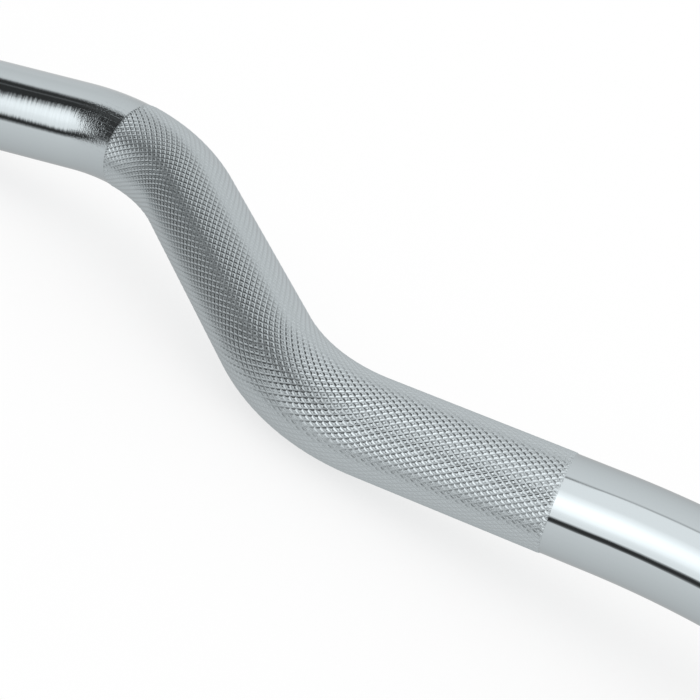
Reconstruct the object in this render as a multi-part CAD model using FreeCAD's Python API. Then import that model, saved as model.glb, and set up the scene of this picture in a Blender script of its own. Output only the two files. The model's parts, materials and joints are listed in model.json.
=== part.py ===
import FreeCAD, Part
import math
import os

# Curl bar with a W-bent shaft and two free-turning weight sleeves, in millimetres and degrees.
# X runs along the sleeves, Z is up and the bar lies on the plane Z = 0 as it does on a floor:
# on its two collars and on the low bends of the shaft.

# Shaft: from the middle out, each half is a centre slope, an inner grip, an outer grip and a straight end
shaft_diameter = 28.0
centre_slope_length = 95.0
inner_grip_length = 112.0
outer_grip_length = 129.0
straight_end_length = 104.0
centre_slope_angle = 26.0
inner_grip_angle = 23.0
outer_grip_angle = 18.0
centre_bend_radius = 60.0
grip_bend_radius = 60.0
outer_bend_radius = 240.0

# Knurled grip band, which starts inside the bend above the inner grip and ends along the outer grip
knurl_rise = 0.2
grip_start_share = 0.37
grip_tail_length = 55.0

# Turned-down end of the shaft, on which the sleeve runs
journal_diameter = 25.0
journal_chamfer = 1.0
shoulder_depth = 3.0
centre_hole_radius = 3.0
centre_hole_depth = 3.5

# Weight sleeve, which reaches from the collar's inner face to its tip
sleeve_reach = 185.0
sleeve_diameter = 50.0
sleeve_bore = 40.0
sleeve_tip_chamfer = 2.0
sleeve_bore_chamfer = 1.0
collar_seat_step = 1.0

# Collar that stops the plates, with a lip that closes round the shaft
collar_diameter = 64.0
collar_width = 20.0
collar_lip_width = 5.0
collar_rim_chamfer = 1.5
collar_groove_width = 3.0
collar_groove_depth = 1.0
collar_shaft_clearance = 0.4

# Bronze bushings pressed into both ends of the sleeve
bushing_length = 32.0
bushing_chamfer = 1.2

# Washers and the ring that keeps the sleeve on the journal
thrust_washer_thickness = 2.0
thrust_washer_wall = 5.5
wave_washer_wall = 4.0
wave_washer_thickness = 0.6
wave_washer_height = 1.8
wave_count = 3
sections_per_wave = 8
shaft_ring_thickness = 1.5
shaft_ring_wall = 2.6
shaft_ring_ear_radius = 2.2
shaft_ring_groove_depth = 1.0
shaft_ring_land = 3.0

# End cap, in a recess at the sleeve's tip behind a retaining ring
cap_recess_depth = 8.0
cap_recess_diameter = 44.0
cap_thickness = 4.0
cap_chamfer = 0.8
cap_dish_radius = 14.0
cap_dish_depth = 1.2
cap_journal_gap = 3.0
cap_ring_thickness = 1.3
cap_ring_wall = 2.4
cap_ring_ear_radius = 2.0
cap_ring_groove_depth = 1.2

# Both retaining rings are cut open and have a plier hole in each ear
ring_gap = 5.0
plier_hole_radius = 0.9
ear_stand_share = 0.35

# Fits
running_clearance = 0.05
press_clearance = 0.02
washer_clearance = 0.15
ring_play = 0.05
end_float = 0.3
overrun = 1.0

FULL_TURN = 360.0
HALF_TURN = 180.0
ORIGIN = FreeCAD.Vector(0, 0, 0)
ALONG = FreeCAD.Vector(1, 0, 0)
UP = FreeCAD.Vector(0, 0, 1)

# Radii worked out from the sizes above
shaft_radius = shaft_diameter / 2
grip_radius = shaft_radius + knurl_rise
journal_radius = journal_diameter / 2
sleeve_radius = sleeve_diameter / 2
sleeve_bore_radius = sleeve_bore / 2
collar_seat_radius = sleeve_radius - collar_seat_step
collar_radius = collar_diameter / 2
cap_recess_radius = cap_recess_diameter / 2
washer_bore_radius = journal_radius + washer_clearance
shaft_ring_groove_radius = journal_radius - shaft_ring_groove_depth
cap_ring_groove_radius = cap_recess_radius + cap_ring_groove_depth


def along_slope(length, angle):
    """Run and drop of a stretch of the shaft that leaves the sleeve axis by an angle."""
    radians = math.radians(angle)
    return length * math.cos(radians), length * math.sin(radians)


def right_corners():
    """Corners of the right half of the shaft's centre line, from the middle out."""
    centre_run, centre_drop = along_slope(centre_slope_length, centre_slope_angle)
    inner_run, inner_drop = along_slope(inner_grip_length, inner_grip_angle)
    outer_run, outer_drop = along_slope(outer_grip_length, outer_grip_angle)
    peak_drop = outer_drop - inner_drop
    middle = FreeCAD.Vector(0, -peak_drop - centre_drop, 0)
    peak = FreeCAD.Vector(centre_run, -peak_drop, 0)
    dip = FreeCAD.Vector(centre_run + inner_run, -outer_drop, 0)
    knee = FreeCAD.Vector(centre_run + inner_run + outer_run, 0, 0)
    return middle, peak, dip, knee


# Stations along X on the right-hand side, from the collar's inner face out to the tip
middle_corner, peak_corner, dip_corner, knee_corner = right_corners()
collar_face = knee_corner.x + straight_end_length
plate_face = collar_face + collar_width
sleeve_start = collar_face + collar_lip_width
sleeve_tip = collar_face + sleeve_reach
shoulder = sleeve_start + shoulder_depth
inner_bushing_start = shoulder + thrust_washer_thickness + end_float
cap_seat = sleeve_tip - cap_recess_depth
cap_ring_start = cap_seat + cap_thickness + ring_play
journal_end = cap_seat - cap_journal_gap
shaft_ring_start = journal_end - shaft_ring_land - shaft_ring_thickness
outer_washer_start = shaft_ring_start - thrust_washer_thickness
wave_washer_start = outer_washer_start - ring_play - wave_washer_height
outer_bushing_start = wave_washer_start - ring_play - bushing_length


def across(point):
    """The same point on the other half of the bar."""
    return FreeCAD.Vector(-point.x, point.y, point.z)


def bend_at(before, corner, after, radius):
    """Arc that rounds a corner: its centre, its first point and its signed turn."""
    arriving = (corner - before).normalize()
    leaving = (after - corner).normalize()
    turn = math.atan2(arriving.cross(leaving).z, arriving.dot(leaving))
    first = corner - arriving * (radius * math.tan(abs(turn) / 2))
    inward = FreeCAD.Vector(-arriving.y, arriving.x, 0) * math.copysign(radius, turn)
    return first + inward, first, math.degrees(turn)


def point_on(bend, share):
    """Point that lies a share of the way round a bend."""
    centre, first, turn = bend
    return centre + FreeCAD.Rotation(UP, turn * share).multVec(first - centre)


def bend_edge(bend, start_share=0.0):
    """Arc edge of a bend, from a share of its turn to its end."""
    middle_share = (start_share + 1) / 2
    return Part.Arc(point_on(bend, start_share), point_on(bend, middle_share), point_on(bend, 1)).toShape()


def tube_along(edges, radius):
    """Round solid bar swept along joined edges."""
    path = Part.Wire(edges)
    first = edges[0]
    start = first.valueAt(first.FirstParameter)
    section = Part.Wire(Part.makeCircle(radius, start, first.tangentAt(first.FirstParameter)))
    return path.makePipeShell([section], True, False)


def bends_of_shaft():
    """Bends of the whole centre line, from the left end to the right end, and the two end points."""
    outward = [peak_corner, dip_corner, knee_corner, FreeCAD.Vector(shoulder, 0, 0)]
    points = [across(point) for point in outward[::-1]] + [middle_corner] + outward
    half_radii = [outer_bend_radius, grip_bend_radius, grip_bend_radius]
    radii = half_radii + [centre_bend_radius] + half_radii[::-1]
    corners = zip(points, points[1:], points[2:], radii)
    return [bend_at(*corner) for corner in corners], points[0], points[-1]


def lowest_reach(bend):
    """How far a bend that opens away from the axis reaches from it, on the centre line."""
    centre, first, turn = bend
    return (first - centre).Length - centre.y


def rest_pose():
    """Tilt of the bends when the bar lies on a floor, and the sleeve axis's place that centres the bar."""
    bends = bends_of_shaft()[0]
    half = len(bends) // 2
    middle_reach, dip_reach = lowest_reach(bends[half]), lowest_reach(bends[half + 2])
    stands = [(middle_reach, shaft_radius), (dip_reach, grip_radius)]
    tilt = min(math.asin((collar_radius - radius) / reach) for reach, radius in stands)
    front = max(reach * math.cos(tilt) + radius for reach, radius in stands)
    return math.degrees(tilt), FreeCAD.Vector(0, (front - collar_radius) / 2, collar_radius)


def turned(outline):
    """Solid turned about the X axis from (x, radius) points."""
    points = [FreeCAD.Vector(x, radius, 0) for x, radius in outline]
    face = Part.Face(Part.makePolygon(points + points[:1]))
    return face.revolve(ORIGIN, ALONG, FULL_TURN)


def ring_between(start, thickness, inner_radius, outer_radius):
    """Plain flat ring about the X axis."""
    end = start + thickness
    return turned([(start, inner_radius), (end, inner_radius), (end, outer_radius), (start, outer_radius)])


def left_of(solid):
    """The left-hand copy of a right-hand piece."""
    copy = solid.copy()
    copy.rotate(ORIGIN, UP, HALF_TURN)
    return copy


def make_journal():
    """Turned-down end of the shaft, with its ring groove and centre hole."""
    groove_start = shaft_ring_start - ring_play
    groove_end = shaft_ring_start + shaft_ring_thickness + ring_play
    return turned([
        (shoulder - overrun, 0),
        (shoulder - overrun, journal_radius),
        (groove_start, journal_radius),
        (groove_start, shaft_ring_groove_radius),
        (groove_end, shaft_ring_groove_radius),
        (groove_end, journal_radius),
        (journal_end - journal_chamfer, journal_radius),
        (journal_end, journal_radius - journal_chamfer),
        (journal_end, centre_hole_radius),
        (journal_end - centre_hole_depth, 0),
    ])


def make_grip_band(peak_bend, dip_bend):
    """Knurled band over the inner grip and the first part of the outer grip."""
    centre, first, turn = dip_bend
    leaving = FreeCAD.Rotation(UP, turn).multVec((first - point_on(peak_bend, 1)).normalize())
    dip_end = point_on(dip_bend, 1)
    edges = [
        bend_edge(peak_bend, grip_start_share),
        Part.makeLine(point_on(peak_bend, 1), first),
        bend_edge(dip_bend),
        Part.makeLine(dip_end, dip_end + leaving * grip_tail_length),
    ]
    return tube_along(edges, grip_radius)


def make_shaft():
    """One bar bent to a W, with a turned-down journal at each end and two knurled grip bands."""
    bends, last, end = bends_of_shaft()
    edges = []
    for bend in bends:
        edges += [Part.makeLine(last, bend[1]), bend_edge(bend)]
        last = point_on(bend, 1)
    edges.append(Part.makeLine(last, end))
    half = len(bends) // 2
    right_band = make_grip_band(bends[half + 1], bends[half + 2])
    left_band = right_band.mirror(ORIGIN, ALONG)
    journal = make_journal()
    bar = tube_along(edges, shaft_radius)
    return bar.fuse([right_band, left_band, journal, left_of(journal)]).removeSplitter()


def make_sleeve():
    """Tube that carries the plates: turned down for the collar, recessed and grooved for the end cap."""
    groove_start = cap_ring_start - ring_play
    groove_end = cap_ring_start + cap_ring_thickness + ring_play
    return turned([
        (sleeve_start, sleeve_bore_radius + sleeve_bore_chamfer),
        (sleeve_start, collar_seat_radius),
        (plate_face, collar_seat_radius),
        (plate_face, sleeve_radius),
        (sleeve_tip - sleeve_tip_chamfer, sleeve_radius),
        (sleeve_tip, sleeve_radius - sleeve_tip_chamfer),
        (sleeve_tip, cap_recess_radius),
        (groove_end, cap_recess_radius),
        (groove_end, cap_ring_groove_radius),
        (groove_start, cap_ring_groove_radius),
        (groove_start, cap_recess_radius),
        (cap_seat, cap_recess_radius),
        (cap_seat, sleeve_bore_radius),
        (sleeve_start + sleeve_bore_chamfer, sleeve_bore_radius),
    ])


def make_collar():
    """Flange pressed on the sleeve's step, with a lip round the shaft, chamfered rims and a groove."""
    groove_start = collar_face + (collar_width - collar_groove_width) / 2
    groove_end = groove_start + collar_groove_width
    groove_middle = (groove_start + groove_end) / 2
    groove_radius = collar_radius - collar_groove_depth
    seat_radius = collar_seat_radius + press_clearance
    lip_radius = shaft_radius + collar_shaft_clearance
    rim_radius = collar_radius - collar_rim_chamfer
    return turned([
        (collar_face, lip_radius),
        (collar_face, rim_radius),
        (collar_face + collar_rim_chamfer, collar_radius),
        (groove_start, collar_radius),
        (groove_middle, groove_radius),
        (groove_end, collar_radius),
        (plate_face - collar_rim_chamfer, collar_radius),
        (plate_face, rim_radius),
        (plate_face, seat_radius),
        (sleeve_start, seat_radius),
        (sleeve_start, lip_radius),
    ])


def make_bushing(start):
    """Plain bronze bearing with chamfered ends."""
    end = start + bushing_length
    bore = journal_radius + running_clearance
    outside = sleeve_bore_radius - press_clearance
    return turned([
        (start, bore + bushing_chamfer),
        (start, outside - bushing_chamfer),
        (start + bushing_chamfer, outside),
        (end - bushing_chamfer, outside),
        (end, outside - bushing_chamfer),
        (end, bore + bushing_chamfer),
        (end - bushing_chamfer, bore),
        (start + bushing_chamfer, bore),
    ])


def make_thrust_washer(start):
    """Flat washer on the journal that takes the sleeve's end thrust."""
    outer_radius = washer_bore_radius + thrust_washer_wall
    return ring_between(start, thrust_washer_thickness, washer_bore_radius, outer_radius)


def wave_section(angle):
    """Section of the wave washer at an angle round the journal."""
    inner_radius = washer_bore_radius
    outer_radius = washer_bore_radius + wave_washer_wall
    swing = (wave_washer_height - wave_washer_thickness) / 2
    wave = swing * (1 + math.cos(math.radians(angle * wave_count)))
    low = wave_washer_start + wave
    high = low + wave_washer_thickness
    corners = [(low, inner_radius), (high, inner_radius), (high, outer_radius), (low, outer_radius)]
    section = Part.makePolygon([FreeCAD.Vector(x, radius, 0) for x, radius in corners + corners[:1]])
    section.rotate(ORIGIN, ALONG, angle)
    return section


def make_wave_washer():
    """Waved spring washer that takes up the sleeve's end play, as two halves that meet end to end."""
    half_count = wave_count * sections_per_wave // 2
    step = HALF_TURN / half_count
    halves = []
    for first in (0, half_count):
        sections = [wave_section(step * (first + index)) for index in range(half_count + 1)]
        halves.append(Part.makeLoft(sections, True, False, False))
    return halves[0].fuse(halves[1])


def disc_at(start, thickness, radius, across_y=0.0, across_z=0.0):
    """Flat round disc square to X."""
    return Part.makeCylinder(radius, thickness, FreeCAD.Vector(start, across_y, across_z), ALONG)


def make_open_ring(start, thickness, inner_radius, outer_radius, ear_radius, ear_place):
    """Retaining ring cut open at the top, with a plier hole in the ear at each end of the gap."""
    ear_offset = ring_gap / 2 + ear_radius
    ear_height = math.sqrt(ear_place ** 2 - ear_offset ** 2)
    places = (-ear_offset, ear_offset)
    ears = [disc_at(start, thickness, ear_radius, place, ear_height) for place in places]
    holes = [disc_at(start, thickness, plier_hole_radius, place, ear_height) for place in places]
    band = disc_at(start, thickness, outer_radius).cut(disc_at(start, thickness, inner_radius))
    gap_corner = FreeCAD.Vector(start, -ring_gap / 2, 0)
    gap = Part.makeBox(thickness, ring_gap, outer_radius + ear_radius, gap_corner)
    return band.fuse(ears).cut(holes + [gap]).removeSplitter()


def make_shaft_ring():
    """Outside retaining ring, sprung into the journal's groove."""
    inner_radius = shaft_ring_groove_radius + ring_play
    outer_radius = inner_radius + shaft_ring_wall
    ear_place = outer_radius + shaft_ring_ear_radius * ear_stand_share
    return make_open_ring(
        shaft_ring_start, shaft_ring_thickness, inner_radius, outer_radius, shaft_ring_ear_radius, ear_place
    )


def make_cap_ring():
    """Inside retaining ring, sprung into the groove at the sleeve's tip."""
    outer_radius = cap_ring_groove_radius - ring_play
    inner_radius = outer_radius - cap_ring_wall
    ear_place = inner_radius - cap_ring_ear_radius * ear_stand_share
    return make_open_ring(
        cap_ring_start, cap_ring_thickness, inner_radius, outer_radius, cap_ring_ear_radius, ear_place
    )


def make_end_cap():
    """Disc that closes the sleeve's tip, chamfered and dished on the outside."""
    end = cap_seat + cap_thickness
    radius = cap_recess_radius - press_clearance
    return turned([
        (cap_seat, 0),
        (cap_seat, radius),
        (end - cap_chamfer, radius),
        (end, radius - cap_chamfer),
        (end, cap_dish_radius + cap_dish_depth),
        (end - cap_dish_depth, cap_dish_radius),
        (end - cap_dish_depth, 0),
    ])


def right_hand_pieces():
    """Every piece of the right-hand sleeve, by name."""
    return {
        "sleeve": make_sleeve(),
        "collar": make_collar(),
        "inner_bushing": make_bushing(inner_bushing_start),
        "outer_bushing": make_bushing(outer_bushing_start),
        "inner_thrust_washer": make_thrust_washer(shoulder),
        "outer_thrust_washer": make_thrust_washer(outer_washer_start),
        "wave_washer": make_wave_washer(),
        "shaft_ring": make_shaft_ring(),
        "end_cap": make_end_cap(),
        "end_cap_ring": make_cap_ring(),
    }


def lay_down(solid, tilt, axis_place):
    """Turns a piece about the sleeve axis by the rest tilt and lifts the axis to its place."""
    laid = solid.copy()
    laid.rotate(ORIGIN, ALONG, tilt)
    laid.translate(axis_place)
    return laid


def main():
    os.makedirs("parts", exist_ok=True)
    pieces = {"shaft": make_shaft()}
    for name, solid in right_hand_pieces().items():
        pieces["right_" + name] = solid
        pieces["left_" + name] = left_of(solid)
    tilt, axis_place = rest_pose()
    print("rest tilt", tilt, "sleeve axis at", axis_place)
    print("collar face at", collar_face, "sleeve tip at", sleeve_tip)
    for name, solid in pieces.items():
        laid = lay_down(solid, tilt, axis_place)
        print(name, "valid", laid.isValid(), "solids", len(laid.Solids), "volume", laid.Volume)
        laid.exportStep("parts/" + name + ".step")


main()
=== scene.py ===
import json
import math

import bmesh
import bpy
import numpy as np
from mathutils import Matrix, Vector


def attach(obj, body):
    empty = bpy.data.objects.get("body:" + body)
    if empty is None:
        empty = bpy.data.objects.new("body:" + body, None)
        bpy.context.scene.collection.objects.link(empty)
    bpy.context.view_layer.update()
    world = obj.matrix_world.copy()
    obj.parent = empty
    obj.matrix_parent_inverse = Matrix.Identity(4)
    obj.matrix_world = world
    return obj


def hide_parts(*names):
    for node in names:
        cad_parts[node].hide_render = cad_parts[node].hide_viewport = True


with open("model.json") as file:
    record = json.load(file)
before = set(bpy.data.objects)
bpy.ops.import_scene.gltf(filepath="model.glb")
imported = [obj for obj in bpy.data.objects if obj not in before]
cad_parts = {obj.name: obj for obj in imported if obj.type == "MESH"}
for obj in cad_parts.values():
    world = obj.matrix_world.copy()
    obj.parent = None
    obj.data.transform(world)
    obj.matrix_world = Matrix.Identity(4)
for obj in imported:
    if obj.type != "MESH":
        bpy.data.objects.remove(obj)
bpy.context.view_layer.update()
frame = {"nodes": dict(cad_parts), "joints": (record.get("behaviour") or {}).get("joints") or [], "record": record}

# A curl bar's looks, in metres in the part's own frame: chrome shaft with rolled diamond knurl on its
# grips, turned chrome sleeves, a white floor and a white light tent with one bright panel.

MM = 0.001
axis_y, axis_z = frame["joints"][0]["pos_m"][1:]

# Shaft, in millimetres and degrees, from the middle of the bar outwards
SHAFT_RADIUS = 14.0
CENTRE_SLOPE, INNER_GRIP, OUTER_GRIP = 95.0, 112.0, 129.0
CENTRE_ANGLE, INNER_ANGLE, OUTER_ANGLE = 26.0, 23.0, 18.0
BEND_RADIUS, KNEE_RADIUS = 60.0, 240.0
KNEE_TO_SHOULDER = 112.0

# Journal, from the shoulder outwards: groove for the retaining ring, tip, and centre hole in the tip
JOURNAL_LENGTH, JOURNAL_RADIUS, JOURNAL_CHAMFER = 166.0, 12.5, 1.0
RING_FROM, RING_TO, RING_RADIUS = 161.45, 163.05, 11.5
HOLE_DEPTH, HOLE_RADIUS = 3.5, 3.0
JOURNAL = [
    (0.0, JOURNAL_RADIUS), (RING_FROM, JOURNAL_RADIUS), (RING_FROM, RING_RADIUS), (RING_TO, RING_RADIUS),
    (RING_TO, JOURNAL_RADIUS), (JOURNAL_LENGTH - JOURNAL_CHAMFER, JOURNAL_RADIUS),
    (JOURNAL_LENGTH, JOURNAL_RADIUS - JOURNAL_CHAMFER), (JOURNAL_LENGTH, HOLE_RADIUS),
    (JOURNAL_LENGTH - HOLE_DEPTH, 0.0),
]

# Knurl: where its band starts on the peak's bend, how far it runs past the dip, the starts of each of its
# two helices, and its rows of diamonds
BAND_START_SHARE, BAND_TAIL = 0.37, 55.0
STARTS, ROWS = 50, 67
# Half a groove's floor, the wall's upper edge and the dish's edge, as shares of the way to the next groove
FLAT_SHARE, WALL_SHARE, DISH_SHARE = 0.036, 0.298, 0.371
# Heights over the plain shaft
GROOVE_HEIGHT, RIM_HEIGHT, DISH_HEIGHT, DISH_MIDDLE = 0.04, 0.20, 0.16, 0.145
# How far short of them the rolling leaves a corner: the usual length, how many times that at most, and a seed
UNEVEN, MOST_UNEVEN, UNEVEN_SEED = 0.004, 2, 3

# The bar is waisted under the bands, which sit on its core with a small gap
CORE_RADIUS, CORE_GAP, CORE_RINGS = 13.4, 0.02, 48
# Spacing of the bar's rings on bends and on straights, and the least from a band's end or the shoulder
BEND_STEP, STRAIGHT_STEP, LEAST_STEP = 1.5, 3.0, 0.1
# Edges of the bar that turn by more degrees than this are sharp
SHARP_EDGE = 30.0
# Points nearer than this, and edges shorter than this, are closed up where a tip's ring has no radius
SAME_PLACE, NO_LENGTH = 1e-3 * MM, 1e-4 * MM


def bend_length(turn, radius):
    return math.radians(turn) * radius


def tangent_length(turn, radius):
    return math.tan(math.radians(turn) / 2) * radius


def half_path():
    """Stretches of the right half of the centre line, as (length, signed turn), from the middle out."""
    middle, peak = 2 * CENTRE_ANGLE, CENTRE_ANGLE + INNER_ANGLE
    dip, knee = INNER_ANGLE + OUTER_ANGLE, OUTER_ANGLE
    cut = [tangent_length(turn, BEND_RADIUS) for turn in (middle, peak, dip)]
    knee_cut = tangent_length(knee, KNEE_RADIUS)
    return [
        (bend_length(middle, BEND_RADIUS) / 2, CENTRE_ANGLE),
        (CENTRE_SLOPE - cut[0] - cut[1], 0),
        (bend_length(peak, BEND_RADIUS), -peak),
        (INNER_GRIP - cut[1] - cut[2], 0),
        (bend_length(dip, BEND_RADIUS), dip),
        (OUTER_GRIP - cut[2] - knee_cut, 0),
        (bend_length(knee, KNEE_RADIUS), -knee),
        (KNEE_TO_SHOULDER - knee_cut + JOURNAL_LENGTH, 0),
    ]


# The path, with the places in it of the peak's and the dip's bends, and where its stretches start
PATH = half_path()
PEAK, DIP = 2, 4
PATH_STARTS = np.concatenate([[0.0], np.cumsum([length for length, turn in PATH])])
SHOULDER_AT = PATH_STARTS[-1] - JOURNAL_LENGTH
BAND_FROM = PATH_STARTS[PEAK] + BAND_START_SHARE * PATH[PEAK][0]
BAND_TO = PATH_STARTS[DIP + 1] + BAND_TAIL
# Height of the bar's middle over the sleeve axis, in the plane of the bends
MIDDLE_HEIGHT = (
    INNER_GRIP * math.sin(math.radians(INNER_ANGLE)) - OUTER_GRIP * math.sin(math.radians(OUTER_ANGLE))
    - CENTRE_SLOPE * math.sin(math.radians(CENTRE_ANGLE))
    + BEND_RADIUS * (1 / math.cos(math.radians(CENTRE_ANGLE)) - 1)
)


def advance(run, length, turn, angle):
    """Steps in the bend plane, and headings, after runs along a stretch that sets out at an angle."""
    if not turn:
        ahead = np.stack([run * math.cos(angle), run * math.sin(angle)], -1)
        return ahead, np.full_like(run, angle)
    bent = angle + math.radians(turn) * run / length
    radius = length / math.radians(turn)
    ahead = np.stack([np.sin(bent) - math.sin(angle), math.cos(angle) - np.cos(bent)], -1)
    return radius * ahead, bent


def along_path(stations):
    """Places in the bend plane and headings at distances from the middle, negative for the left half."""
    side, stations = np.sign(stations), np.abs(stations)
    place, heading = np.zeros((len(stations), 2)), np.zeros(len(stations))
    corner, angle = np.array([0.0, MIDDLE_HEIGHT]), 0.0
    for start, (length, turn) in zip(PATH_STARTS, PATH):
        here = stations >= start
        step, bent = advance(stations[here] - start, length, turn, angle)
        place[here], heading[here] = corner + step, bent
        step, bent = advance(np.array([length]), length, turn, angle)
        corner, angle = corner + step[0], bent[0]
    mirrored = np.where(side < 0, -1.0, 1.0)
    return place * np.stack([mirrored, np.ones_like(mirrored)], -1), heading * mirrored


# At rest the bar lies on its collars and on the lowest point of each dip, where its centre line is level
LEVEL_AT = PATH_STARTS[DIP] + PATH[DIP][0] * INNER_ANGLE / (INNER_ANGLE + OUTER_ANGLE)
dip_reach = -along_path(np.array([LEVEL_AT]))[0][0, 1]
REST_TILT = math.asin((axis_z / MM - SHAFT_RADIUS - RIM_HEIGHT) / dip_reach)
LAY_DOWN = Matrix.Translation((0, axis_y, axis_z)) @ Matrix.Rotation(REST_TILT, 4, "X")


def on_shaft(stations, turns, radii):
    """Points on the shaft, in metres, at distances from the middle, angles round it and radii."""
    place, heading = along_path(stations)
    out, across = radii * np.cos(turns), radii * np.sin(turns)
    along, up = place[:, 0] - out * np.sin(heading), place[:, 1] + out * np.cos(heading)
    flat = np.stack([along, up, across], -1)
    turn = np.array(LAY_DOWN.to_3x3())
    return flat * MM @ turn.T + np.array(LAY_DOWN.translation)


def add_mesh(name, points, faces, uvs=None, flat=False):
    """Mesh object from points and faces, with an optional (along, round) pair for every corner."""
    mesh = bpy.data.meshes.new(name)
    mesh.from_pydata(points.tolist(), [], faces)
    mesh.polygons.foreach_set("use_smooth", np.full(len(mesh.polygons), not flat))
    if uvs is not None:
        layer = mesh.uv_layers.new(name="along_round")
        layer.data.foreach_set("uv", np.asarray(uvs, np.float32).ravel())
    mesh.validate()
    mesh.update()
    made = bpy.data.objects.new(name, mesh)
    bpy.context.scene.collection.objects.link(made)
    return made


# Lines of the knurl in a cell, from groove to groove; every ring of the shaft shares their angles
CELL_LINES = (FLAT_SHARE, WALL_SHARE, 1 - WALL_SHARE, 1 - FLAT_SHARE)
LINES_ROUND = len(CELL_LINES) * STARTS
LAST_RING = 2 * len(CELL_LINES) * ROWS


def line_value(index):
    """Lattice coordinate of a groove's edge or a wall's upper edge, by its index."""
    return index // len(CELL_LINES) + np.array(CELL_LINES)[index % len(CELL_LINES)]


TURNS = line_value(np.arange(LINES_ROUND)) * 2 * math.pi / STARTS


def tube_faces(first_of_ring, reverse=False):
    """Quads between rings of LINES_ROUND points each, and how far along and round each corner is."""
    faces, corners = [], []
    for ring in range(len(first_of_ring) - 1):
        low, high = first_of_ring[ring], first_of_ring[ring + 1]
        for m in range(LINES_ROUND):
            n = (m + 1) % LINES_ROUND
            face = [(low + m, ring, m), (low + n, ring, m + 1)]
            face += [(high + n, ring + 1, m + 1), (high + m, ring + 1, m)]
            face = face[::-1] if reverse else face
            faces.append([corner[0] for corner in face])
            corners += [corner[1:] for corner in face]
    return faces, corners


def shaft_rings():
    """Rings of the plain shaft from its middle to the right-hand tip, as (distance, radius)."""
    steps = []
    for start, (length, turn) in zip(PATH_STARTS, PATH):
        step = BEND_STEP if abs(turn) > OUTER_ANGLE else STRAIGHT_STEP
        steps += [start + at for at in np.linspace(0, length, int(length / step) + 2)[:-1]]
    before = [at for at in steps if at < BAND_FROM - LEAST_STEP]
    under = np.linspace(BAND_FROM, BAND_TO, CORE_RINGS)
    after = [at for at in steps if BAND_TO + LEAST_STEP < at < SHOULDER_AT - LEAST_STEP]
    rings = [(at, SHAFT_RADIUS) for at in [*before, BAND_FROM]]
    rings += [(at, CORE_RADIUS) for at in under]
    rings += [(at, SHAFT_RADIUS) for at in [BAND_TO, *after, SHOULDER_AT]]
    return rings + [(SHOULDER_AT + at, radius) for at, radius in JOURNAL]


def merge_tips(piece):
    """Makes one point of each ring of no radius."""
    work = bmesh.new()
    work.from_mesh(piece.data)
    bmesh.ops.remove_doubles(work, verts=work.verts, dist=SAME_PLACE)
    bmesh.ops.dissolve_degenerate(work, edges=work.edges, dist=NO_LENGTH)
    work.to_mesh(piece.data)
    work.free()


def make_shaft():
    """The plain chromed bar, waisted under the knurl bands, with its journals' grooves and centre holes."""
    right = shaft_rings()
    rings = [(-at, radius) for at, radius in right[:0:-1]] + right
    stations = np.repeat([at for at, radius in rings], LINES_ROUND)
    radii = np.repeat([radius for at, radius in rings], LINES_ROUND)
    points = on_shaft(stations, np.tile(TURNS, len(rings)), radii)
    faces, corners = tube_faces([ring * LINES_ROUND for ring in range(len(rings))], reverse=True)
    round_length = 2 * math.pi * SHAFT_RADIUS / LINES_ROUND
    uvs = [(rings[ring][0], m * round_length) for ring, m in corners]
    bar = add_mesh("shaft_bar", points, faces, uvs)
    merge_tips(bar)
    bar.data.set_sharp_from_angle(angle=math.radians(SHARP_EDGE))
    return bar


def knurl_corner(ring, place):
    """Line indices on the two helices of a corner, from its ring and its place round that ring."""
    return ring // 2 + place, (ring - 1) // 2 - place


def corner_at(a, b):
    """Index of the corner where two lines cross, one of each helix."""
    ring = a + b + 1
    return ring * LINES_ROUND + (a - ring // 2) % LINES_ROUND


def knurl_heights(ring, one, two):
    """Heights of corners: a groove's where either line edges one, else a rim's, and none on the end rings."""
    lines = len(CELL_LINES)
    groove = (one % lines % (lines - 1) == 0) | (two % lines % (lines - 1) == 0)
    short = np.abs(np.random.default_rng(UNEVEN_SEED).normal(size=len(ring))).clip(0, MOST_UNEVEN)
    height = np.where(groove, GROOVE_HEIGHT, RIM_HEIGHT) - UNEVEN * short
    height[(ring == 0) | (ring == LAST_RING)] = 0.0
    return height


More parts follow.
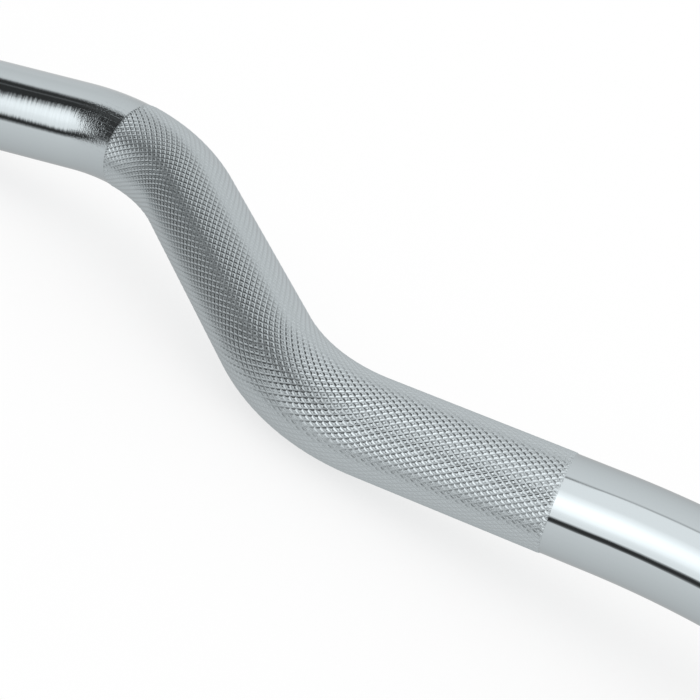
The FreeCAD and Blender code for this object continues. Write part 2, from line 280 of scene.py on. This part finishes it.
def knurl_surface():
    """Outside of a band: how many rows along and starts round each point is, its height, and the faces."""
    lines = len(CELL_LINES)
    ring, place = np.divmod(np.arange((LAST_RING + 1) * LINES_ROUND), LINES_ROUND)
    one, two = knurl_corner(ring, place)
    along, turn = (line_value(one) + line_value(two)) / 2, (line_value(one) - line_value(two)) / 2
    height = knurl_heights(ring, one, two)

    # One quad for each pair of neighbouring lines; those on the ends are halved
    a, b = knurl_corner(ring - 1, place)
    quads = [corner_at(a, b), corner_at(a + 1, b), corner_at(a + 1, b + 1), corner_at(a, b + 1)]
    quads = np.stack(quads, -1)
    first, end = ring == 0, ring == LAST_RING
    whole = ~first & ~end
    # Corners of the diamonds are split along their mitres
    across = whole & (a % lines % 2 == 0) & (b % lines % 2 == 0) & (a % lines != b % lines)
    quads[across] = np.roll(quads[across], -1, axis=1)
    top = whole & (a % lines == 1) & (b % lines == 1)
    faces = quads[whole & ~top].tolist()
    faces += quads[first][:, 1:].tolist() + quads[end][:, [0, 1, 3]].tolist()

    # Each top is a narrow inner rim round a dish of four triangles
    low, high = DISH_SHARE, 1 - DISH_SHARE
    dish_a = (a[top, None] // lines + np.array([low, high, high, low, 0.5])).ravel()
    dish_b = (b[top, None] // lines + np.array([low, low, high, high, 0.5])).ravel()
    dish = len(ring) + np.arange(len(dish_a)).reshape(-1, 5)
    for k, n in ((0, 1), (1, 2), (2, 3), (3, 0)):
        faces += np.stack([quads[top, k], quads[top, n], dish[:, n], dish[:, k]], -1).tolist()
        faces += np.stack([dish[:, k], dish[:, n], dish[:, 4]], -1).tolist()
    along = np.concatenate([along, (dish_a + dish_b) / 2])
    turn = np.concatenate([turn, (dish_a - dish_b) / 2])
    height = np.concatenate([height, np.tile([DISH_HEIGHT] * 4 + [DISH_MIDDLE], len(dish))])
    return along, turn, height, faces


def make_knurl(name, side):
    """Rolled diamond knurl on one grip: a closed band of grooves, walls, raised rims and dished tops."""
    along, turn, height, faces = knurl_surface()

    # Inner wall of the band and its two end rings
    inner_first = len(along) + LINES_ROUND * np.arange(CORE_RINGS)
    inner_height = CORE_RADIUS + CORE_GAP - SHAFT_RADIUS
    along = np.concatenate([along, np.repeat(np.linspace(0, ROWS, CORE_RINGS), LINES_ROUND)])
    turn = np.concatenate([turn, np.tile(TURNS * STARTS / (2 * math.pi), CORE_RINGS)])
    height = np.concatenate([height, np.full(CORE_RINGS * LINES_ROUND, inner_height)])
    rings = [LAST_RING * LINES_ROUND, *inner_first[::-1], 0]
    closing, _ = tube_faces([int(ring) for ring in rings])
    faces += closing

    pitch = (BAND_TO - BAND_FROM) / ROWS
    stations = BAND_FROM + along * pitch
    points = on_shaft(side * stations, turn * 2 * math.pi / STARTS, SHAFT_RADIUS + height)
    # The left band's faces are turned over, which also splits its quads along their other diagonals
    if side < 0:
        faces = [face[::-1] for face in faces]
    loop = np.concatenate([np.asarray(face) for face in faces])
    round_length = 2 * math.pi * SHAFT_RADIUS / STARTS
    uvs = np.stack([stations[loop], turn[loop] * round_length], -1)
    band = add_mesh(name, points, faces, uvs, flat=True)
    depth = band.data.attributes.new("knurl_height", "FLOAT", "POINT")
    share = (height - GROOVE_HEIGHT) / (RIM_HEIGHT - GROOVE_HEIGHT)
    depth.data.foreach_set("value", share.astype(np.float32))
    return band


class Graph:
    """Small helper that adds and joins shader nodes."""

    def __init__(self, tree):
        self.tree = tree

    def node(self, kind, inputs=None, **settings):
        made = self.tree.nodes.new(kind)
        for key, value in settings.items():
            setattr(made, key, value)
        for key, value in (inputs or {}).items():
            self.put(value, made.inputs[key])
        return made

    def put(self, value, socket):
        if isinstance(value, bpy.types.NodeSocket):
            self.tree.links.new(value, socket)
        else:
            socket.default_value = value

    def math(self, operation, *values):
        made = self.node("ShaderNodeMath", operation=operation)
        for value, socket in zip(values, made.inputs):
            self.put(value, socket)
        return made.outputs[0]

    def length(self, one, two):
        squares = self.math("ADD", self.math("MULTIPLY", one, one), self.math("MULTIPLY", two, two))
        return self.math("SQRT", squares)

    def dot(self, vector, fixed):
        made = self.node("ShaderNodeVectorMath", operation="DOT_PRODUCT")
        self.put(vector, made.inputs[0])
        self.put(tuple(fixed), made.inputs[1])
        return made.outputs["Value"]

    def step(self, value, low, high, to_low=0.0, to_high=1.0):
        """Smooth step between two outcomes, as a value goes from low to high."""
        made = self.node("ShaderNodeMapRange", {
            "Value": value, "From Min": low, "From Max": high, "To Min": to_low, "To Max": to_high,
        }, interpolation_type="SMOOTHSTEP")
        return made.outputs["Result"]

    def noise(self, vector, scale, detail=2.0):
        inputs = {"Vector": vector, "Scale": scale, "Detail": detail}
        return self.node("ShaderNodeTexNoise", inputs).outputs[0]

    def mix(self, share, low, high):
        """Colour between two, by a share from 0 to 1."""
        inputs = {"Fac": share, "Color1": (*low, 1), "Color2": (*high, 1)}
        return self.node("ShaderNodeMixRGB", inputs).outputs["Color"]


# Camera, fitted to the photograph's outlines
CAMERA_PLACE = Vector((0.38823, -0.39065, 0.19890))
CAMERA_AHEAD = Vector((-0.43223, 0.82030, -0.37455)).normalized()
CAMERA_UP = Vector((-0.53527, 0.10087, 0.83864)).normalized()
CAMERA_LENS, CAMERA_SENSOR = 84.857, 36.0
NEAREST, FARTHEST = 0.01, 50.0


def add_camera():
    data = bpy.data.cameras.new("camera")
    data.lens, data.sensor_width = CAMERA_LENS, CAMERA_SENSOR
    data.clip_start, data.clip_end = NEAREST, FARTHEST
    camera = bpy.data.objects.new("camera", data)
    back = -CAMERA_AHEAD
    right = CAMERA_UP.cross(back).normalized()
    up = back.cross(right)
    turn = Matrix((right, up, back)).transposed()
    camera.matrix_world = Matrix.Translation(CAMERA_PLACE) @ turn.to_4x4()
    bpy.context.scene.collection.objects.link(camera)
    bpy.context.scene.camera = camera
    return right, up, back


# Studio, charted in degrees to the right of and above the direction from the bar to the photographer. Each
# zone has a level and its corners, run anticlockwise, each with the softness of the edge that leaves it. The
# tent's own level changes along X, Y and Z by its slopes
TENT, TENT_SLOPE = 0.87, (0.117, -0.09, 0.124)
ROOF, SIDE, GLOOM, SLIT, BACK_PANEL = 0.89, 0.26, 0.045, 0.12, 1.3
ROOF_CORNERS = [(-70, 112, 10), (0, 112, 10), (12, 180, 10), (-110, 150, 10)]
SIDE_CORNERS = [(-30, 112, 8), (-114, 78, 8), (-114, 18, 8), (-50, 5, 8), (-10, 40, 8), (-18, 75, 8)]
GLOOM_CORNERS = [
    (-60, 0, 4), (-52, -23.5, 5.5), (-31, -36.2, 2.5), (10, -54, 4), (25, -54, 4), (45, 20, 4),
    (30, 65.5, 2.5), (-62, 65.5, 4),
]
GLOOM_TOP_CORNERS = [(-60, 50, 8), (-10, 50, 8), (-6, 69.5, 8), (-20, 76.5, 8), (-63, 89, 8)]
SLIT_CORNERS = [(-42, 55.5, 2), (-11, 55.5, 2), (-11, 60, 2), (-42, 60, 2)]
PANEL_CORNERS = [
    (-44.5, 2, 5), (-36, -18.5, 4), (-27, -25.2, 2), (24, -25.2, 3), (38, 20, 3), (24, 64.5, 2),
    (10, 64.5, 1.5), (-14, 46, 6), (-31, 24, 4),
]
BACK_GLOOM_CORNERS = [(80, -62, 4), (160, -62, 4), (160, 30, 4), (80, 30, 4)]
BACK_PANEL_CORNERS = [(90, -50, 2), (150, -50, 2), (150, 18, 2), (90, 18, 2)]
# The panel is brightest round one spot and fades to its low level
GLOW_EAST, GLOW_NORTH, GLOW_INNER, GLOW_REACH = -8, 8, 4.0, 32.0
PANEL_LOW, PANEL_HIGH = 1.22, 1.95
# Keeps the chart's sums from dividing by nothing at its middle
LEAST_SQUARE = 1e-6


def soft_polygon(graph, east, north, corners):
    """Mask of a convex zone of the chart with soft edges."""
    mask = 1.0
    for (x0, y0, blur), (x1, y1, _) in zip(corners, corners[1:] + corners[:1]):
        length = math.hypot(x1 - x0, y1 - y0)
        normal = ((y1 - y0) / length, -(x1 - x0) / length)
        level = normal[0] * x0 + normal[1] * y0
        out = graph.math("MULTIPLY_ADD", east, normal[0], graph.math("MULTIPLY", north, normal[1]))
        mask = graph.math("MULTIPLY", mask, graph.step(out, level + blur, level - blur))
    return mask


def light_studio(right, up, back):
    """White tent for every ray; mirror-like surfaces also see its dark openings and bright panels."""
    world = bpy.data.worlds.new("studio")
    bpy.context.scene.world = world
    world.use_nodes = True
    graph = Graph(world.node_tree)
    world.node_tree.nodes.clear()
    direction = graph.node("ShaderNodeTexCoord").outputs["Generated"]
    facing = graph.dot(direction, back)
    across, above = graph.dot(direction, right), graph.dot(direction, up)
    angle = graph.math("MULTIPLY", graph.math("ARCCOSINE", facing), 180 / math.pi)
    square = graph.math("SUBTRACT", 1.0, graph.math("MULTIPLY", facing, facing))
    reach = graph.math("SQRT", graph.math("MAXIMUM", square, LEAST_SQUARE))
    share = graph.math("DIVIDE", angle, reach)
    east, north = graph.math("MULTIPLY", across, share), graph.math("MULTIPLY", above, share)
    off_east = graph.math("SUBTRACT", east, GLOW_EAST)
    off_north = graph.math("SUBTRACT", north, GLOW_NORTH)
    off = graph.length(off_east, off_north)
    glow = graph.step(off, GLOW_REACH, GLOW_INNER, PANEL_LOW, PANEL_HIGH)
    lit = graph.math("ADD", graph.dot(direction, TENT_SLOPE), TENT)
    for level, corners in (
        (ROOF, ROOF_CORNERS), (SIDE, SIDE_CORNERS), (GLOOM, GLOOM_CORNERS), (GLOOM, GLOOM_TOP_CORNERS),
        (SLIT, SLIT_CORNERS), (glow, PANEL_CORNERS), (GLOOM, BACK_GLOOM_CORNERS),
        (BACK_PANEL, BACK_PANEL_CORNERS),
    ):
        mask = soft_polygon(graph, east, north, corners)
        lit = graph.math("MULTIPLY_ADD", graph.math("SUBTRACT", level, lit), mask, lit)
    glossy = graph.node("ShaderNodeLightPath").outputs["Is Glossy Ray"]
    strength = graph.math("MULTIPLY_ADD", graph.math("SUBTRACT", lit, 1.0), glossy, 1.0)
    light = graph.node("ShaderNodeBackground", {"Color": (1, 1, 1, 1), "Strength": strength})
    out = graph.node("ShaderNodeOutputWorld")
    graph.put(light.outputs[0], out.inputs["Surface"])


# Half the floor's width, and how much of what the camera sees of it is even white instead of lit paper
FLOOR_REACH, FLOOR_GLOW = 30.0, 0.7


def add_floor():
    """Wide white floor that keeps the bar's soft shadow; chrome mirrors the tent below it instead."""
    corners = [(-1, -1, 0), (1, -1, 0), (1, 1, 0), (-1, 1, 0)]
    floor = add_mesh("floor", FLOOR_REACH * np.array(corners), [[0, 1, 2, 3]])
    material = bpy.data.materials.new("white_floor")
    material.use_nodes = True
    graph = Graph(material.node_tree)
    material.node_tree.nodes.clear()
    paper = graph.node("ShaderNodeBsdfDiffuse", {"Color": (1, 1, 1, 1)})
    glow = graph.node("ShaderNodeEmission", {"Color": (1, 1, 1, 1), "Strength": 1.0})
    seen = graph.node("ShaderNodeLightPath").outputs["Is Camera Ray"]
    both = graph.node("ShaderNodeMixShader", {"Fac": graph.math("MULTIPLY", seen, FLOOR_GLOW)})
    graph.put(paper.outputs[0], both.inputs[1])
    graph.put(glow.outputs[0], both.inputs[2])
    out = graph.node("ShaderNodeOutputMaterial")
    graph.put(both.outputs[0], out.inputs["Surface"])
    floor.data.materials.append(material)
    floor.visible_glossy = False


# Colour of the plate, and the tint of every metal seen edge on
CHROME = (0.545, 0.595, 0.615)
EDGE_TINT = (0.8, 0.8, 0.8, 1)
# The middle of a noise, and the values between which it mostly lies
NOISE_MIDDLE, NOISE_EDGES = 0.5, (0.3, 0.7)


class Metal(Graph):
    """A metal's shader nodes, with the places on the object that its marks follow."""

    def __init__(self, name):
        self.material = bpy.data.materials.new(name)
        self.material.use_nodes = True
        super().__init__(self.material.node_tree)
        self.shader = self.tree.nodes["Principled BSDF"]
        self.shader.inputs["Metallic"].default_value = 1.0
        self.shader.inputs["Specular Tint"].default_value = EDGE_TINT

    def finish(self, colour, roughness, height):
        """Joins up the shader: colour, roughness, and bumps from heights in millimetres."""
        self.put(colour, self.shader.inputs["Base Color"])
        self.put(roughness, self.shader.inputs["Roughness"])
        bump = self.node("ShaderNodeBump", {"Height": height, "Distance": MM})
        self.put(bump.outputs["Normal"], self.shader.inputs["Normal"])
        return self.material

    def object_place(self):
        return self.node("ShaderNodeTexCoord").outputs["Object"]

    def turned_place(self):
        """Place along the sleeve axis and out from it in millimetres; a noise of it is a lathe's rings."""
        spot = self.node("ShaderNodeSeparateXYZ", {"Vector": self.object_place()}).outputs
        y, z = self.math("SUBTRACT", spot["Y"], axis_y), self.math("SUBTRACT", spot["Z"], axis_z)
        along = self.math("MULTIPLY", spot["X"], 1 / MM)
        out = self.math("MULTIPLY", self.length(y, z), 1 / MM)
        return self.node("ShaderNodeCombineXYZ", {"X": along, "Y": out}).outputs[0]

    def bar_place(self):
        """Distance along the bar to the right of its middle, and angle round it."""
        layer = self.node("ShaderNodeUVMap", uv_map="along_round").outputs["UV"]
        spot = self.node("ShaderNodeSeparateXYZ", {"Vector": layer}).outputs
        return spot["X"], self.math("DIVIDE", spot["Y"], SHAFT_RADIUS)

    def bar_noise(self, along, turn, marks, detail=2.0):
        """Noise on the shaft, by how many marks there are to a millimetre along it and round it."""
        along_scale, round_scale = marks
        span = SHAFT_RADIUS * round_scale
        vector = self.node("ShaderNodeCombineXYZ", {
            "X": self.math("MULTIPLY", along, along_scale),
            "Y": self.math("MULTIPLY", self.math("COSINE", turn), span),
            "Z": self.math("MULTIPLY", self.math("SINE", turn), span),
        })
        return self.noise(vector.outputs[0], 1.0, detail)


# Marks on the shaft's plate: streaks that end where a band starts, grain and dullness near that place, and
# slow waves and clouds all over. Each kind has its marks to a millimetre, along and round
STREAK_MARKS, GRAIN_MARKS, WAVE_MARKS, CLOUD_MARKS = (0.9, 0.12), (2.2, 2.2), (0.06, 0.12), (0.25, 0.2)
STREAK_FADE, GRAIN_REACH, GRAIN_FULL = 20.0, 22.0, 4.0
STREAK_LEAST, STREAK_MOST, GRAIN_DEPTH, WAVE_DEPTH = 0.002, 0.024, 0.06, 0.03
CLOUD_LOW, CLOUD_HIGH, POLISH_BEST, POLISH_WORST, GRAIN_DULL = 0.35, 0.7, 0.035, 0.07, 0.04


def chrome_shaft():
    """Polished plate, with streaks round the middle bend and a coarser grain where the knurl starts."""
    metal = Metal("chrome_shaft")
    along, turn = metal.bar_place()
    out = metal.math("ABSOLUTE", along)
    middle = metal.step(out, BAND_FROM + STREAK_FADE, BAND_FROM - STREAK_FADE)
    off_start = metal.math("ABSOLUTE", metal.math("SUBTRACT", out, BAND_FROM))
    near = metal.step(off_start, GRAIN_REACH, GRAIN_FULL)
    streak_depth = metal.step(middle, 0.0, 1.0, STREAK_LEAST, STREAK_MOST)
    grain_depth = metal.math("MULTIPLY", near, GRAIN_DEPTH)
    streaks = metal.math("MULTIPLY", metal.bar_noise(along, turn, STREAK_MARKS, detail=4.0), streak_depth)
    grain = metal.math("MULTIPLY", metal.bar_noise(along, turn, GRAIN_MARKS), grain_depth)
    waves = metal.math("MULTIPLY", metal.bar_noise(along, turn, WAVE_MARKS), WAVE_DEPTH)
    height = metal.math("ADD", metal.math("ADD", streaks, grain), waves)
    cloud = metal.bar_noise(along, turn, CLOUD_MARKS, detail=4.0)
    polish = metal.step(cloud, CLOUD_LOW, CLOUD_HIGH, POLISH_BEST, POLISH_WORST)
    return metal.finish((*CHROME, 1), metal.math("MULTIPLY_ADD", near, GRAIN_DULL, polish), height)


# Knurl: specks to a metre and their depth in millimetres, how much they vary the groove-to-rim mask, how dark
# the shade painted into a groove's colour is, the mask's share from which the colour is the plate's own, and
# roughness at both ends of it
KNURL_SPECKS, SPECK_DEPTH, KNURL_SPECK_SPREAD, KNURL_GROOVE_SHADE, KNURL_SHADE_END = 2400.0, 0.006, 0.6, 0.94, 0.5
GROOVE_ROUGH, RIM_ROUGH = 0.32, 0.27


def chrome_knurl():
    """The same plate on the knurled grips: rims rubbed smoother, and shade painted into the grooves' colour."""
    metal = Metal("chrome_knurl")
    depth = metal.node("ShaderNodeAttribute", attribute_name="knurl_height").outputs["Fac"]
    speck = metal.noise(metal.object_place(), KNURL_SPECKS, detail=3.0)
    # Mask from groove to rim, varied by specks: it sets the rubbed roughness and the shade painted into the
    # grooves
    wear_and_shade = metal.math("MULTIPLY_ADD", metal.math("SUBTRACT", speck, NOISE_MIDDLE), KNURL_SPECK_SPREAD, depth)
    # Painted shade: the grooves' colour is darker than the plate's own, up to the mask's share where it clears
    darker_colour = tuple(KNURL_GROOVE_SHADE * part for part in CHROME)
    colour = metal.mix(metal.step(wear_and_shade, 0.0, KNURL_SHADE_END), darker_colour, CHROME)
    roughness = metal.step(wear_and_shade, 0.0, 1.0, GROOVE_ROUGH, RIM_ROUGH)
    return metal.finish(colour, roughness, metal.math("MULTIPLY", speck, SPECK_DEPTH))


# In the other metals, ring and band scales count marks to a millimetre and all others to a metre. Depths are
# in millimetres, edges are values between which a look changes, and rough is the roughness before and after


def chrome_sleeve():
    """Plate over a turned surface: fine rings, and rub marks that plates leave along it."""
    ring_scale, ring_depth, band_scale, band_depth = 3.0, 0.005, 0.12, 0.03
    rub_scale, rub_edges, rub_colour, rub_rough = (25.0, 900.0, 900.0), (0.56, 0.72), 0.93, 0.10
    rough = (0.09, 0.15)
    metal = Metal("chrome_sleeve")
    rings = metal.noise(metal.turned_place(), ring_scale)
    bands = metal.noise(metal.turned_place(), band_scale)
    place = {"Vector": metal.object_place(), "Scale": rub_scale}
    stretched = metal.node("ShaderNodeMapping", place).outputs[0]
    rubs = metal.step(metal.noise(stretched, 1.0, detail=3.0), *rub_edges)
    darker_colour = tuple(rub_colour * part for part in CHROME)
    polish = metal.step(bands, *NOISE_EDGES, *rough)
    roughness = metal.math("MULTIPLY_ADD", rubs, rub_rough, polish)
    height = metal.math("MULTIPLY_ADD", rings, ring_depth, metal.math("MULTIPLY", bands, band_depth))
    return metal.finish(metal.mix(rubs, CHROME, darker_colour), roughness, height)


def cap_steel():
    """Faced steel disc with rings from the cutting tool."""
    ring_scale, ring_depth, rough = 2.0, 0.012, (0.22, 0.36)
    cloud_scale, cloud_edges, dark, pale = 120.0, (0.35, 0.65), (0.48, 0.48, 0.49), (0.58, 0.58, 0.59)
    metal = Metal("cap_steel")
    rings = metal.noise(metal.turned_place(), ring_scale)
    cloud = metal.noise(metal.object_place(), cloud_scale, detail=4.0)
    colour = metal.mix(metal.step(cloud, *cloud_edges), dark, pale)
    roughness = metal.step(rings, *NOISE_EDGES, *rough)
    return metal.finish(colour, roughness, metal.math("MULTIPLY", rings, ring_depth))


def washer_steel():
    """Ground washers with faint rings where they rub."""
    ring_scale, ring_depth, rough = 4.0, 0.006, (0.28, 0.42)
    cloud_scale, dark, pale = 260.0, (0.43, 0.43, 0.44), (0.54, 0.54, 0.55)
    metal = Metal("washer_steel")
    rings = metal.noise(metal.turned_place(), ring_scale)
    cloud = metal.noise(metal.object_place(), cloud_scale, detail=3.0)
    colour = metal.mix(metal.step(cloud, *NOISE_EDGES), dark, pale)
    roughness = metal.step(rings, *NOISE_EDGES, *rough)
    return metal.finish(colour, roughness, metal.math("MULTIPLY", rings, ring_depth))


def bronze():
    """Sintered bronze: speckled grains, with oily pits between them."""
    grain_scale, grain_edges, grain_depth = 1500.0, (0.25, 0.75), 0.006
    pit_scale, pit_edges, pit_depth = 900.0, (0.08, 0.26), 0.012
    dark, pale, rough = (0.38, 0.22, 0.10), (0.70, 0.48, 0.26), (0.3, 0.5)
    metal = Metal("bronze")
    grains = metal.noise(metal.object_place(), grain_scale, detail=3.0)
    place = {"Vector": metal.object_place(), "Scale": pit_scale}
    pits = metal.node("ShaderNodeTexVoronoi", place).outputs["Distance"]
    solid = metal.step(pits, *pit_edges)
    tone = metal.math("MULTIPLY", metal.step(grains, *grain_edges), solid)
    roughness = metal.step(tone, 0.0, 1.0, *rough)
    height = metal.math("MULTIPLY_ADD", solid, pit_depth, metal.math("MULTIPLY", grains, grain_depth))
    return metal.finish(metal.mix(tone, dark, pale), roughness, height)


def spring_steel():
    """Blackened spring steel, mottled, with a paler cast where the black is thin."""
    grain_scale, grain_depth, rough = 2600.0, 0.006, (0.36, 0.5)
    cloud_scale, cloud_edges, dark, pale = 350.0, (0.35, 0.75), (0.11, 0.11, 0.12), (0.25, 0.25, 0.26)
    metal = Metal("spring_steel")
    cloud = metal.noise(metal.object_place(), cloud_scale, detail=4.0)
    grain = metal.noise(metal.object_place(), grain_scale)
    colour = metal.mix(metal.step(cloud, *cloud_edges), dark, pale)
    roughness = metal.step(grain, *NOISE_EDGES, *rough)
    return metal.finish(colour, roughness, metal.math("MULTIPLY", grain, grain_depth))


right, up, back = add_camera()
light_studio(right, up, back)
add_floor()

shaft = make_shaft()
shaft.data.materials.append(chrome_shaft())
knurls = [make_knurl("right_knurl", 1), make_knurl("left_knurl", -1)]
knurl_metal = chrome_knurl()
# Reflections see past the bands to the studio, so that neighbouring diamonds don't darken each other
for piece in knurls:
    piece.data.materials.append(knurl_metal)
    piece.visible_glossy = False
for piece in [shaft, *knurls]:
    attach(piece, "bar")
    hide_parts("shaft")

# The other nodes keep their own solids, each with the metal that its slot in the record names
metals = (chrome_sleeve, cap_steel, washer_steel, bronze, spring_steel)
finishes = {make.__name__: make() for make in metals}
for part in frame["record"]["subparts"]:
    if part["material_slot"] in finishes:
        for slot in frame["nodes"][part["node"]].material_slots:
            slot.material = finishes[part["material_slot"]]

bpy.context.scene.view_settings.view_transform = "Standard"
